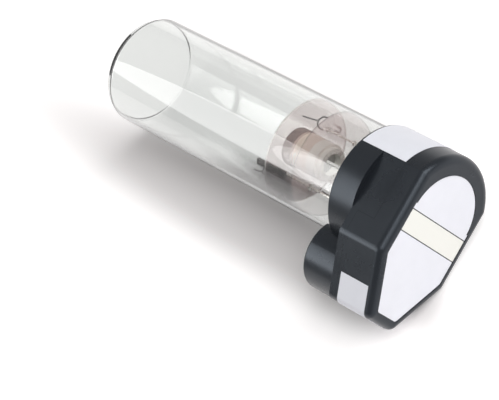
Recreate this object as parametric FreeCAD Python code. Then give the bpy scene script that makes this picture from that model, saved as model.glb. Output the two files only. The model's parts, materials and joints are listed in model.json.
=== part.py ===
import FreeCAD, Part
import math
import os

V = FreeCAD.Vector

# Lengths are in millimetres. The lamp is drawn in its own frame first: Z runs along the
# tube towards the window, Y points to the round side of the housing, X across it, and
# Z = 0 is the front rim of the housing. seat() then lays the finished lamp on its side.

# Glass envelope
tube_diameter = 50.0
tube_wall = 1.1
window_face_z = 148.2
window_thickness = 3.0
window_setback = 0.8
window_edge_round = 2.0
tube_end_round = 0.75
tube_root_step = 0.4

# Housing outline, looking along the tube
ring_wall = 2.9
ring_edge_round = 0.8
side_cover = 0.0
side_corner_rise = 1.6
body_bottom_half_width = 9.3
body_bottom_cover = 0.3
side_corner_round = 4.5
bottom_corner_round = 4.0
wall = 2.2

# Housing lengths
body_front_z = -13.7
body_back_z = -38.0
back_edge_round = 3.6
seam_upper_z = -26.5
seam_lower_z = -17.0
seam_step_y = -13.0
seam_lip_height = 0.8
seam_lip_thickness = 1.0
seam_clearance = 0.15

# Seat of the tube in the housing
tube_seat_shoulder = 2.4
tube_fit_clearance = 0.3
seat_hole_radius = 19.5
cement_length = 11.0
cement_gap = 0.02

# Connector lobe
lobe_radius = 15.8
lobe_drop = 8.2
lobe_front_z = 4.0
lobe_wall = 2.4
lobe_tube_gap = 1.2
web_over_socket = 2.0
socket_depth = 11.0
block_thickness = 5.5
block_clearance = 0.1
block_ledge = 1.5
contact_radius = 0.8
contact_tip_chamfer = 0.3
contact_pitch = 5.0
contact_reach = 5.5
contact_tail = 7.6
contact_rows = 3
contact_drop = 3.8
contact_fit = 0.05

# Code board behind the connector
board_width = 16.0
board_height = 14.8
board_thickness = 1.6
board_gap = 5.4
resistor_radius = 1.1
resistor_length = 5.6
resistor_pitch = 5.0
resistor_chamfer = 0.3

# Labels
label_thickness = 0.2
label_recess = 0.45
label_edge_gap = 0.2
face_label_top_margin = 8.3
face_label_margin = 4.4
face_label_shoulder_y = 1.0
face_label_corner_round = 2.0
ring_label_front_z = -1.4
ring_label_back_z = -26.2
ring_label_edge_drop = 0.15
lobe_label_front_z = -18.6
lobe_label_back_z = -34.3
lobe_label_height = 11.5

# Glass stem that closes the tube
stem_flange_thickness = 2.2
stem_neck_radius = 8.2
stem_glass_wall = 1.6
stem_neck_top_z = 3.0
stem_flare_length = 6.0
pinch_thickness = 6.0
pinch_height = 5.0
exhaust_radius = 2.3
exhaust_length = 8.0
seal_gap = 0.02

# Electrodes and their supports
rear_disc_z = 26.0
front_disc_z = 42.4
disc_thickness = 0.4
disc_rim_gap = 0.2
sleeve_radius = 8.4
sleeve_bore_radius = 6.4
sleeve_length = 15.0
sleeve_foot_height = 2.4
sleeve_foot_step = 1.2
sleeve_end_hole_radius = 5.0
sleeve_end_wall = 1.2
cup_radius = 6.2
cup_length = 14.0
cup_bore_radius = 2.0
cup_bore_depth = 11.0
anode_radius = 8.8
anode_front_z = 48.5
anode_wall = 0.6
lead_radius = 0.7
lead_offset_x = 4.1
lead_crank_z = 15.0
lead_crank_rise = 4.0
lead_tail = 5.0
anode_lead_radius_out = 12.4
anode_lead_angle = 205.0
bead_radius = 1.5
fit_gap = 0.05
collar_height = 5.0
collar_thickness = 0.5
collar_ear_width = 4.0
rod_radius = 0.5
rod_x = 6.0
rod_y = -13.0
rod_overrun = 2.4
clip_thickness = 0.4
clip_band = 0.8
clip_opening = 1.1
spring_width = 0.9
spring_thickness = 0.5
spring_chord = 5.0
spring_rise = 3.0
spring_tail = 6.0
spring_rim_gap = 0.2
rear_spring_angle = 33.0
front_spring_angle = -52.0
getter_length = 17.0
getter_front_reach = 6.0
getter_width = 2.6
getter_depth = 1.2
getter_wall = 0.3
getter_angle = -38.0
getter_rim_gap = 0.8

# Insulated wires inside the housing
wire_radius = 0.8
wire_back_z = -28.5
wire_edge_inset = 0.8
wire_joint_gap = 0.1

# Overrun of cutting shapes past a face, and reach for finding an edge at a known place
overrun = 1.0
snap = 0.01

tube_radius = tube_diameter / 2
tube_root_radius = tube_radius - tube_root_step
bore_radius = tube_radius - tube_wall
socket_radius = tube_radius + tube_fit_clearance
ring_radius = socket_radius + ring_wall
body_half_width = tube_radius + side_cover
body_corner_y = side_corner_rise - tube_radius
lobe_centre_y = -tube_radius - lobe_drop
body_bottom_y = lobe_centre_y - lobe_radius - body_bottom_cover
contact_centre_y = lobe_centre_y - contact_drop
face_label_radius = ring_radius - face_label_top_margin
lobe_label_edge_y = body_bottom_y + lobe_label_height
window_back_z = window_face_z - window_thickness
window_radius = tube_radius - window_setback
body_cavity_front_z = body_front_z - wall
tube_seat_z = body_cavity_front_z + tube_seat_shoulder
block_front_z = lobe_front_z - socket_depth
block_back_z = block_front_z - block_thickness
board_front_z = block_back_z - board_gap
board_back_z = board_front_z - board_thickness
wire_board_y = contact_centre_y + board_height / 2 - wire_edge_inset
stem_flange_z = tube_seat_z + stem_flange_thickness
pinch_top_z = stem_neck_top_z + pinch_height
tip_z = tube_seat_z - exhaust_length
disc_radius = bore_radius - disc_rim_gap
sleeve_foot_z = rear_disc_z + disc_thickness
sleeve_back_z = sleeve_foot_z + sleeve_foot_height
sleeve_front_z = sleeve_back_z + sleeve_length
sleeve_foot_radius = sleeve_radius - sleeve_foot_step
cup_back_z = sleeve_back_z + sleeve_end_wall
getter_back_z = front_disc_z + getter_front_reach - getter_length
getter_radius_out = disc_radius - getter_rim_gap - getter_depth
cup_front_z = cup_back_z + cup_length
anode_back_z = front_disc_z + disc_thickness
lead_end_z = tube_seat_z - lead_tail


def box(x0, x1, y0, y1, z0, z1):
    return Part.makeBox(x1 - x0, y1 - y0, z1 - z0, V(x0, y0, z0))


def rod(radius, z0, z1, x=0.0, y=0.0):
    return Part.makeCylinder(radius, z1 - z0, V(x, y, z0))


def tube(outer, inner, z0, z1, x=0.0, y=0.0):
    return rod(outer, z0, z1, x, y).cut(rod(inner, z0, z1, x, y))


def polar(radius, angle):
    turn = math.radians(angle)
    return V(radius * math.cos(turn), radius * math.sin(turn), 0)


def turned(points):
    """Solid turned about the tube's axis from (radius, z) points."""
    wire = Part.makePolygon([V(r, 0, z) for r, z in points + points[:1]])
    return Part.Face(wire).revolve(V(0, 0, 0), V(0, 0, 1), 360)


def crossing(p, along_p, q, along_q):
    """Point where two lines in the plane cross."""
    step = ((q.x - p.x) * along_q.y - (q.y - p.y) * along_q.x)
    step = step / (along_p.x * along_q.y - along_p.y * along_q.x)
    return p + along_p * step


def round_corner(before, corner, after, radius):
    """Ends and middle of the arc that rounds one corner of an outline."""
    back = (before - corner).normalize()
    ahead = (after - corner).normalize()
    half = back.getAngle(ahead) / 2
    inward = (back + ahead).normalize()
    reach = radius / math.tan(half)
    middle = corner + inward * (radius / math.sin(half) - radius)
    return corner + back * reach, middle, corner + ahead * reach


def symmetric_outline(top_radius, top, side, bottom, side_round, bottom_round):
    """Closed outline: round top, flat sides, tapered flanks and a short flat bottom.

    top, side and bottom are the right hand corners, and the left hand ones mirror them."""
    def mirror(point):
        return V(-point.x, point.y, 0)

    a1, a2, a3 = round_corner(top, side, bottom, side_round)
    b1, b2, b3 = round_corner(side, bottom, mirror(bottom), bottom_round)
    half = [top, a1, a2, a3, b1, b2, b3]
    edges = [Part.Arc(mirror(top), V(0, top_radius, 0), top).toShape()]
    edges.append(Part.makeLine(top, a1))
    edges.append(Part.Arc(a1, a2, a3).toShape())
    edges.append(Part.makeLine(a3, b1))
    edges.append(Part.Arc(b1, b2, b3).toShape())
    edges.append(Part.makeLine(b3, mirror(b3)))
    other = [mirror(point) for point in reversed(half)]
    edges.append(Part.Arc(other[0], other[1], other[2]).toShape())
    edges.append(Part.makeLine(other[2], other[3]))
    edges.append(Part.Arc(other[3], other[4], other[5]).toShape())
    edges.append(Part.makeLine(other[5], other[6]))
    return Part.Wire(edges)


def body_corners(inset):
    """Right hand corners of the housing's outline, moved inwards by inset."""
    side_x = body_half_width - inset
    top_r = ring_radius - inset
    side = V(body_half_width, body_corner_y, 0)
    bottom = V(body_bottom_half_width, body_bottom_y, 0)
    taper = (bottom - side).normalize()
    on_taper = side + V(taper.y, -taper.x, 0) * inset
    corner = crossing(V(side_x, 0, 0), V(0, 1, 0), on_taper, taper)
    foot = crossing(V(0, body_bottom_y + inset, 0), V(1, 0, 0), on_taper, taper)
    top = V(side_x, math.sqrt(top_r ** 2 - side_x ** 2), 0)
    return top_r, top, corner, foot


def body_prism(inset, z0, z1):
    """Block with the housing's outline between two heights."""
    top_r, top, corner, foot = body_corners(inset)
    side_round = max(side_corner_round - inset, wall / 2)
    foot_round = max(bottom_corner_round - inset, wall / 2)
    wire = symmetric_outline(top_r, top, corner, foot, side_round, foot_round)
    wire.translate(V(0, 0, z0))
    return Part.Face(wire).extrude(V(0, 0, z1 - z0))


def above_step(z0, z1):
    reach = 2 * ring_radius
    return box(-reach, reach, seam_step_y, reach, z0, z1)


def below_step(z0, z1):
    reach = 2 * ring_radius
    return box(-reach, reach, body_bottom_y - reach, seam_step_y, z0, z1)


def socket_space(inset, z0, z1):
    """Round bore of the connector lobe, cut off under the tube's seat."""
    round_part = rod(lobe_radius - lobe_wall - inset, z0, z1, 0, lobe_centre_y)
    return round_part.cut(rod(socket_radius + web_over_socket + inset, z0, z1))


def make_front_shell():
    ring = rod(ring_radius, body_front_z, 0)
    ring = ring.makeFillet(ring_edge_round, [e for e in ring.Edges if e.BoundBox.ZMin > -snap])
    lobe = rod(lobe_radius, body_front_z, lobe_front_z, 0, lobe_centre_y)
    front_edges = [e for e in lobe.Edges if e.BoundBox.ZMin > lobe_front_z - snap]
    lobe = lobe.makeFillet(ring_edge_round, front_edges)
    body = body_prism(0, seam_upper_z, body_front_z)
    body = body.cut(below_step(seam_upper_z, seam_lower_z))
    shell = body.fuse([ring, lobe]).removeSplitter()
    shell = shell.cut(body_prism(wall, seam_upper_z - wall, body_cavity_front_z))
    shell = shell.cut(rod(socket_radius, tube_seat_z, lobe_front_z + wall))
    shell = shell.cut(rod(tube_radius + lobe_tube_gap, 0, lobe_front_z + wall))
    shell = shell.cut(rod(seat_hole_radius, body_cavity_front_z - wall, tube_seat_z))
    shell = shell.cut(socket_space(0, block_back_z, lobe_front_z + wall))
    shell = shell.cut(socket_space(block_ledge, body_cavity_front_z - wall, block_back_z))
    return shell


def seam_lip(z, region):
    """Register lip inside a seam at height z, in one half of the section."""
    outer = wall + seam_clearance
    inner = outer + seam_lip_thickness
    root_z = z - 2 * seam_lip_thickness
    lip = body_prism(outer, root_z, z + seam_lip_height)
    root = body_prism(wall / 2, root_z, z - seam_lip_thickness / 2)
    lip = lip.fuse(root).cut(body_prism(inner, root_z - wall, z + wall))
    return lip.common(region)


def make_rear_shell():
    shell = body_prism(0, body_back_z, seam_lower_z)
    back = [e for e in shell.Edges if e.BoundBox.ZMax < body_back_z + snap]
    shell = shell.makeFillet(back_edge_round, back)
    shell = shell.cut(above_step(seam_upper_z, seam_lower_z + wall))
    shell = shell.cut(body_prism(wall, body_back_z + wall, seam_lower_z + wall))
    clear = wall + seam_clearance
    reach = 2 * ring_radius
    upper = box(-reach, reach, seam_step_y + clear, reach, body_back_z, 0)
    lower = box(-reach, reach, -reach, seam_step_y - clear, body_back_z, 0)
    shell = shell.fuse(seam_lip(seam_upper_z, upper))
    shell = shell.fuse(seam_lip(seam_lower_z, lower))
    pocket = face_label_prism(-label_edge_gap, body_back_z, body_back_z + label_recess)
    return shell.cut(pocket).removeSplitter()


def face_label_prism(inset, z0, z1):
    """Plate with the outline of the face label: a round head on a tapered field."""
    head = rod(face_label_radius - inset, z0, z1)
    shoulder = face_label_shoulder_y
    reach = 2 * face_label_radius
    head = head.cut(box(-reach, reach, -reach, shoulder, z0, z1))
    top_r, top, side, foot = body_corners(face_label_margin + inset)
    corners = [V(side.x, shoulder, z0), V(side.x, side.y, z0), V(foot.x, foot.y, z0)]
    left = [V(-point.x, point.y, z0) for point in reversed(corners)]
    ring = corners + left
    field = Part.Face(Part.makePolygon(ring + ring[:1])).extrude(V(0, 0, z1 - z0))
    low = [e for e in field.Edges if is_low_upright(e)]
    field = field.makeFillet(face_label_corner_round, low)
    return head.fuse(field).removeSplitter()


def is_low_upright(edge):
    size = edge.BoundBox
    upright = size.XLength < snap and size.YLength < snap
    return upright and size.YMax < face_label_shoulder_y - snap


def make_face_label():
    z0 = body_back_z + label_recess - label_thickness
    return face_label_prism(0, z0, body_back_z + label_recess)


def make_ring_label():
    outer = ring_radius + fit_gap / 2 + label_thickness
    band = tube(outer, ring_radius + fit_gap / 2, ring_label_back_z, ring_label_front_z)
    top = body_corners(0)[1]
    edge_angle = math.degrees(math.atan2(top.y + ring_label_edge_drop, top.x))
    sweep = 180 - 2 * edge_angle
    wedge = Part.makeCylinder(2 * outer, -ring_label_back_z, V(0, 0, ring_label_back_z),
                              V(0, 0, 1), sweep)
    wedge.rotate(V(0, 0, 0), V(0, 0, 1), edge_angle)
    return band.common(wedge)


def make_lobe_label():
    """Wrapped label over the lower flanks and the bottom of the rear shell."""
    skin = fit_gap / 2
    outer = body_prism(-skin - label_thickness, lobe_label_back_z, lobe_label_front_z)
    inner = body_prism(-skin, lobe_label_back_z, lobe_label_front_z)
    reach = 2 * ring_radius
    low = box(-reach, reach, -reach, lobe_label_edge_y, lobe_label_back_z, lobe_label_front_z)
    return outer.cut(inner).common(low)


def make_glass_tube():
    """Drawn tube whose root is ground a little smaller where the ring holds it."""
    shell = tube(tube_radius, bore_radius, 0, window_back_z)
    front = [e for e in shell.Edges if is_circle_at(e, tube_radius, window_back_z)]
    shell = shell.makeFillet(tube_end_round, front)
    return shell.fuse(tube(tube_root_radius, bore_radius, tube_seat_z, 0)).removeSplitter()


def is_circle_at(edge, radius, z):
    size = edge.BoundBox
    flat = size.ZLength < snap and abs(size.ZMin - z) < snap
    return flat and abs(size.XLength / 2 - radius) < snap


def make_end_window():
    disc = rod(window_radius, window_back_z, window_face_z)
    front = [e for e in disc.Edges if is_circle_at(e, window_radius, window_face_z)]
    return disc.makeFillet(window_edge_round, front)


def make_tube_cement():
    top = tube_seat_z + cement_length
    return tube(socket_radius - cement_gap, tube_root_radius + cement_gap, tube_seat_z, top)


def make_glass_stem():
    """Flared stem with a flat pinch for the leads and the sealed exhaust tip."""
    flange_r = bore_radius - fit_gap
    neck = stem_neck_radius
    inner = neck - stem_glass_wall
    base = tube_seat_z
    flare = stem_flange_z + stem_flare_length
    outside = [(0, base), (flange_r, base), (flange_r, stem_flange_z),
               (neck + stem_flare_length / 2, stem_flange_z), (neck, flare),
               (neck, stem_neck_top_z), (0, stem_neck_top_z)]
    stem = turned(outside)
    hollow_top = stem_neck_top_z - stem_glass_wall
    hollow = [(0, base), (inner + stem_glass_wall, base), (inner, flare),
              (inner, hollow_top), (0, hollow_top)]
    stem = stem.cut(turned(hollow))
    pinch = rod(neck, hollow_top, pinch_top_z)
    half = pinch_thickness / 2
    pinch = pinch.common(box(-neck, neck, -half, half, hollow_top, pinch_top_z))
    exhaust = rod(exhaust_radius, tip_z, hollow_top)
    tip = Part.makeSphere(exhaust_radius, V(0, 0, tip_z))
    stem = stem.fuse([pinch, exhaust, tip]).removeSplitter()
    hole = lead_radius + seal_gap
    for x in (-lead_offset_x, lead_offset_x):
        stem = stem.cut(rod(hole, hollow_top - neck, pinch_top_z + overrun, x))
    top = stem_flange_z + overrun
    for x, y in rod_places():
        stem = stem.cut(rod(rod_radius + seal_gap, base - overrun, top, x, y))
    return stem


def rod_places():
    return [(rod_x, rod_y), (-rod_x, -rod_y)]


def anode_lead_place():
    return polar(anode_lead_radius_out, anode_lead_angle)


def make_disc(z0, centre_radius):
    disc = tube(disc_radius, centre_radius, z0, z0 + disc_thickness)
    low = z0 - overrun
    high = z0 + overrun
    for x, y in rod_places():
        disc = disc.cut(rod(rod_radius + seal_gap, low, high, x, y))
    place = anode_lead_place()
    return disc.cut(rod(lead_radius + fit_gap, low, high, place.x, place.y))


def make_rear_disc():
    return make_disc(rear_disc_z, sleeve_end_hole_radius)


def make_front_disc():
    """Front disc, with a slot in which the getter strip stands."""
    disc = make_disc(front_disc_z, sleeve_radius + fit_gap)
    half = getter_width / 2 + fit_gap
    slot = box(getter_radius_out - fit_gap, getter_radius_out + getter_depth + fit_gap,
               -half, half, front_disc_z - overrun, front_disc_z + overrun)
    slot.rotate(V(0, 0, 0), V(0, 0, 1), getter_angle)
    return disc.cut(slot)


def make_shield_sleeve():
    """Ceramic sleeve with a narrower foot that stands on the rear disc."""
    outside = [(sleeve_end_hole_radius, sleeve_foot_z), (sleeve_foot_radius, sleeve_foot_z),
               (sleeve_foot_radius, sleeve_back_z), (sleeve_radius, sleeve_back_z),
               (sleeve_radius, sleeve_front_z), (sleeve_bore_radius, sleeve_front_z),
               (sleeve_bore_radius, cup_back_z), (sleeve_end_hole_radius, cup_back_z)]
    return turned(outside)


def make_cathode_cup():
    cup = rod(cup_radius, cup_back_z, cup_front_z)
    return cup.cut(rod(cup_bore_radius, cup_front_z - cup_bore_depth, cup_front_z))


def make_anode_ring():
    """Thin metal band round the mouth of the sleeve, with a narrow lip in front."""
    inner = anode_radius - anode_wall
    start = max(anode_back_z, sleeve_front_z)
    ring = tube(anode_radius, inner, start, anode_front_z)
    lip = tube(anode_radius, cup_radius, anode_front_z - anode_wall, anode_front_z)
    tab_end = anode_lead_radius_out + lead_radius
    tab = box(anode_radius - anode_wall / 2, tab_end, -lead_radius, lead_radius,
              anode_front_z - 2 * anode_wall, anode_front_z - anode_wall)
    tab.rotate(V(0, 0, 0), V(0, 0, 1), anode_lead_angle)
    return ring.fuse([lip, tab]).removeSplitter()


def route(points, radius, bend):
    """Round wire along straight runs joined by tangent arcs."""
    edges = []
    start = points[0]
    for before, corner, after in zip(points, points[1:], points[2:]):
        a, middle, b = round_corner(before, corner, after, bend)
        edges.append(Part.makeLine(start, a))
        edges.append(Part.Arc(a, middle, b).toShape())
        start = b
    edges.append(Part.makeLine(start, points[-1]))
    spine = Part.Wire(edges)
    ahead = points[1] - points[0]
    section = Part.Wire(Part.makeCircle(radius, points[0], ahead))
    return spine.makePipeShell([section], True, False)


def make_cathode_lead():
    return rod(lead_radius, lead_end_z, cup_back_z, lead_offset_x)


def make_anode_lead():
    top = anode_lead_place()
    x = -lead_offset_x
    points = [V(top.x, top.y, anode_front_z - 2 * anode_wall),
              V(top.x, top.y, lead_crank_z + lead_crank_rise),
              V(x, 0, lead_crank_z), V(x, 0, lead_end_z)]
    return route(points, lead_radius, 2 * lead_radius)


def make_anode_lead_bead():
    """Ceramic tube over the anode lead between the two discs."""
    place = anode_lead_place()
    return tube(bead_radius, lead_radius + fit_gap, rear_disc_z + disc_thickness,
                front_disc_z, place.x, place.y)


def make_stem_collar():
    """Sheet metal band round the stem with two ears that hold the support rods."""
    inner = stem_neck_radius + fit_gap
    outer = inner + collar_thickness
    z1 = stem_neck_top_z - collar_thickness
    z0 = z1 - collar_height
    reach = math.hypot(rod_x, rod_y) + collar_ear_width / 2
    half = collar_ear_width / 2
    ears = box(-reach, reach, -half, half, z0, z0 + collar_thickness)
    ears.rotate(V(0, 0, 0), V(0, 0, 1), math.degrees(math.atan2(rod_y, rod_x)))
    low = z0 - overrun
    high = z1 + overrun
    collar = rod(outer, z0, z1).fuse(ears).cut(rod(inner, low, high))
    for x, y in rod_places():
        collar = collar.cut(rod(rod_radius + seal_gap, low, high, x, y))
    return collar.removeSplitter()


def make_support_rods():
    top = front_disc_z + disc_thickness + rod_overrun
    rods = [rod(rod_radius, tube_seat_z - rod_overrun, top, x, y) for x, y in rod_places()]
    return Part.makeCompound(rods)


def make_rod_clips():
    """Open rings on the support rods, one behind and one before each disc."""
    seats = []
    for z in (rear_disc_z, front_disc_z):
        seats.append(z - clip_thickness)
        seats.append(z + disc_thickness)
    inner = rod_radius + seal_gap
    outer = inner + clip_band
    half = clip_opening / 2
    clips = []
    for x, y in rod_places():
        for z in seats:
            top = z + clip_thickness
            ring = tube(outer, inner, z, top, x, y)
            clips.append(ring.cut(box(x, x + 2 * outer, y - half, y + half, z, top)))
    return Part.makeCompound(clips)


def spring_clip(z, angle):
    """Bent strip that stands on a disc near its rim, with a straight tail in front."""
    half = spring_chord / 2
    centre = disc_radius - spring_rim_gap - half
    foot_z = z + disc_thickness
    top_z = foot_z + spring_rise
    bend = (half ** 2 + spring_rise ** 2) / (2 * spring_rise)
    width = spring_width
    origin = V(centre, -width / 2, top_z - bend)
    arch = Part.makeCylinder(bend, width, origin, V(0, 1, 0))
    arch = arch.cut(Part.makeCylinder(bend - spring_thickness, width, origin, V(0, 1, 0)))
    thin = spring_thickness / 2
    tail = box(centre - thin, centre + thin, -thin, thin, top_z - thin, top_z + spring_tail)
    reach = tube_radius
    arch = arch.common(box(0, reach, -reach, reach, foot_z, top_z)).fuse(tail)
    arch.rotate(V(0, 0, 0), V(0, 0, 1), angle)
    return arch.removeSplitter()


def make_springs(z, angle):
    return Part.makeCompound([spring_clip(z, angle), spring_clip(z, angle + 180)])


def make_getter():
    """Filled metal channel that lies along the tube and stands in the front disc's slot."""
    half = getter_width / 2
    back = getter_radius_out
    top = getter_back_z + getter_length
    channel = box(back, back + getter_depth, -half, half, getter_back_z, top)
    groove = box(back + 2 * getter_wall, back + 2 * getter_depth, -half + getter_wall,
                 half - getter_wall, getter_back_z + getter_wall, top - getter_wall)
    getter = channel.cut(groove)
    getter.rotate(V(0, 0, 0), V(0, 0, 1), getter_angle)
    return getter


def contact_places():
    middle = (contact_rows - 1) / 2
    steps = [(i - middle) * contact_pitch for i in range(contact_rows)]
    return [(x, contact_centre_y + y) for x in steps for y in steps]


def make_connector_block():
    block = socket_space(block_clearance, block_back_z, block_front_z)
    low = block_back_z - overrun
    high = block_front_z + overrun
    for x, y in contact_places():
        block = block.cut(rod(contact_radius + contact_fit, low, high, x, y))
    return block


def make_contact_pins():
    tip_end_z = block_front_z + contact_reach
    pins = []
    for x, y in contact_places():
        pin = rod(contact_radius, block_back_z - contact_tail, tip_end_z, x, y)
        tip = [e for e in pin.Edges if e.BoundBox.ZMin > tip_end_z - snap]
        pins.append(pin.makeChamfer(contact_tip_chamfer, tip))
    return Part.makeCompound(pins)


def make_code_board():
    half = board_width / 2
    low = contact_centre_y - board_height / 2
    board = box(-half, half, low, low + board_height, board_back_z, board_front_z)
    back = board_back_z - overrun
    front = board_front_z + overrun
    for x, y in contact_places():
        board = board.cut(rod(contact_radius + contact_fit, back, front, x, y))
    return board


def make_code_resistors():
    """Small parts lying on the back of the board between the contact tails."""
    bodies = []
    z = board_back_z - resistor_radius - seal_gap
    for i in (-0.5, 0.5):
        y = contact_centre_y + i * resistor_pitch
        start = V(-resistor_length / 2, y, z)
        body = Part.makeCylinder(resistor_radius, resistor_length, start, V(1, 0, 0))
        bodies.append(body.makeChamfer(resistor_chamfer, [body.Edges[0], body.Edges[2]]))
    return Part.makeCompound(bodies)


def make_wire(x):
    """Insulated wire from a stem lead, round the back, to the edge of the board."""
    start = lead_end_z - wire_joint_gap
    end = board_back_z - wire_joint_gap
    points = [V(x, 0, start), V(x, 0, wire_back_z), V(x, wire_board_y, wire_back_z),
              V(x, wire_board_y, end)]
    return route(points, wire_radius, 3 * wire_radius)


def rest_tilt():
    """Nose-down angle when the window's end of the tube and the ring both touch."""
    across = (ring_radius - ring_edge_round) - (tube_radius - window_setback)
    along = window_back_z + ring_edge_round - window_setback
    offset = window_setback - ring_edge_round
    return math.acos(offset / math.hypot(across, along)) - math.atan2(along, across)


def rest_roll(tilt):
    """Roll about the tube at which the housing's side corner also touches."""
    top_r, top, corner, foot = body_corners(side_corner_round)
    reach = math.hypot(corner.x, corner.y)
    wanted = ring_radius - side_corner_round + abs(body_front_z) * math.tan(tilt)
    return math.atan2(corner.x, -corner.y) + math.acos(wanted / reach)


def seat(shapes):
    """Lay the lamp on its side as it comes to rest, with the floor at zero height."""
    tilt = rest_tilt()
    roll = rest_roll(tilt)
    lay = FreeCAD.Rotation(V(1, 1, 1), 120)
    turn = FreeCAD.Rotation(V(1, 0, 0), math.degrees(roll))
    lean = FreeCAD.Rotation(V(0, 1, 0), math.degrees(tilt))
    pose = FreeCAD.Placement(V(0, 0, 0), lean * turn * lay)
    for shape in shapes.values():
        shape.Placement = pose.multiply(shape.Placement)
    size = Part.makeCompound(list(shapes.values())).optimalBoundingBox(False, False)
    shift = V(-size.Center.x, -size.Center.y, -size.ZMin)
    for shape in shapes.values():
        shape.translate(shift)
    print("tilt", math.degrees(tilt), "roll", math.degrees(roll), "shift", shift)


def main():
    shapes = {
        "glass_tube": make_glass_tube(),
        "end_window": make_end_window(),
        "glass_stem": make_glass_stem(),
        "front_shell": make_front_shell(),
        "rear_shell": make_rear_shell(),
        "tube_cement": make_tube_cement(),
        "face_label": make_face_label(),
        "ring_label": make_ring_label(),
        "lobe_label": make_lobe_label(),
        "connector_block": make_connector_block(),
        "contact_pins": make_contact_pins(),
        "code_board": make_code_board(),
        "code_resistors": make_code_resistors(),
        "cathode_wire": make_wire(lead_offset_x),
        "anode_wire": make_wire(-lead_offset_x),
        "rear_mica_disc": make_rear_disc(),
        "front_mica_disc": make_front_disc(),
        "shield_sleeve": make_shield_sleeve(),
        "cathode_cup": make_cathode_cup(),
        "cathode_lead": make_cathode_lead(),
        "anode_ring": make_anode_ring(),
        "anode_lead": make_anode_lead(),
        "anode_lead_bead": make_anode_lead_bead(),
        "stem_collar": make_stem_collar(),
        "support_rods": make_support_rods(),
        "rod_clips": make_rod_clips(),
        "rear_disc_springs": make_springs(rear_disc_z, rear_spring_angle),
        "front_disc_springs": make_springs(front_disc_z, front_spring_angle),
        "getter": make_getter(),
    }
    seat(shapes)
    os.makedirs("parts", exist_ok=True)
    for name, shape in shapes.items():
        shape.exportStep(os.path.join("parts", name + ".step"))
        print(name, len(shape.Solids), round(shape.Volume, 1), shape.isValid())


main()
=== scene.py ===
import json
import math

import bmesh
import bpy
from bpy.props import FloatProperty, FloatVectorProperty, IntProperty, PointerProperty
from mathutils import Euler, Matrix, Vector


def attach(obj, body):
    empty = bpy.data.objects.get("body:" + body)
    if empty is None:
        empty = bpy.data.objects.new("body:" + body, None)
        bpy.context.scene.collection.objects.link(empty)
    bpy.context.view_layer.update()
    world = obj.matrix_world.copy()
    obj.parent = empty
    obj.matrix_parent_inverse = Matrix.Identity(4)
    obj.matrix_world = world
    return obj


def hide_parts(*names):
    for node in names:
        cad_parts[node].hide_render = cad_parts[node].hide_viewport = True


bl_info = {
    "name": "Hollow cathode lamp",
    "version": (1, 0, 0),
    "blender": (4, 5, 0),
    "location": "3D View > Sidebar > Lamp",
    "description": "Dresses the frame of a hollow cathode lamp with its glass, housing and labels",
    "category": "Object",
}

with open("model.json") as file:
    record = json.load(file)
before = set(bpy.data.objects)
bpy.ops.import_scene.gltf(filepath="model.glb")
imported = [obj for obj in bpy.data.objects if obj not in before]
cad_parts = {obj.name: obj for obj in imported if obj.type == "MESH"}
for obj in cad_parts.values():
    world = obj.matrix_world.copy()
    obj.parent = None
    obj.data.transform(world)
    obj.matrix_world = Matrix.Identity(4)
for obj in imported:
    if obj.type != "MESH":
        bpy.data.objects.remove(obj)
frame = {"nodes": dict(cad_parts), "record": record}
MM = 0.001
BODY = "root"
MOUNTS = {mount["name"]: mount for mount in frame["record"]["mounts"]}
WHITE = (1.0, 1.0, 1.0)


def lamp_matrix():
    """Lamp frame in the row: Z along the tube to the window, Y to the housing's round side,
    and Z 0 at the ring's rim."""
    grip = MOUNTS["tube_grip"]
    along = Vector(grip["axis"]).normalized()
    shoulder = Vector(MOUNTS["ring_shoulder"]["pos_m"])
    point = Vector(grip["pos_m"])
    origin = point + along * (shoulder - point).dot(along)
    up = (shoulder - origin).normalized()
    across = up.cross(along)
    turn = Matrix((across, up, along)).transposed().to_4x4()
    return Matrix.Translation(origin) @ turn


LAMP = lamp_matrix()
TUBE_RADIUS = MOUNTS["tube_grip"]["dims"]["r_mm"] * MM


def length(name, text, default, low=0.0, high=1.0):
    return FloatProperty(name=name, description=text, default=default, min=low, max=high,
                         unit="LENGTH", subtype="DISTANCE", precision=5)


def share(name, text, default):
    return FloatProperty(name=name, description=text, default=default, min=0.0, max=1.0,
                         subtype="FACTOR")


def colour(name, text, default):
    return FloatVectorProperty(name=name, description=text, default=default, size=3,
                               min=0.0, max=1.0, subtype="COLOR")


def power(name, text, default):
    return FloatProperty(name=name, description=text, default=default, min=0.0,
                         unit="POWER", subtype="POWER")


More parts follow.
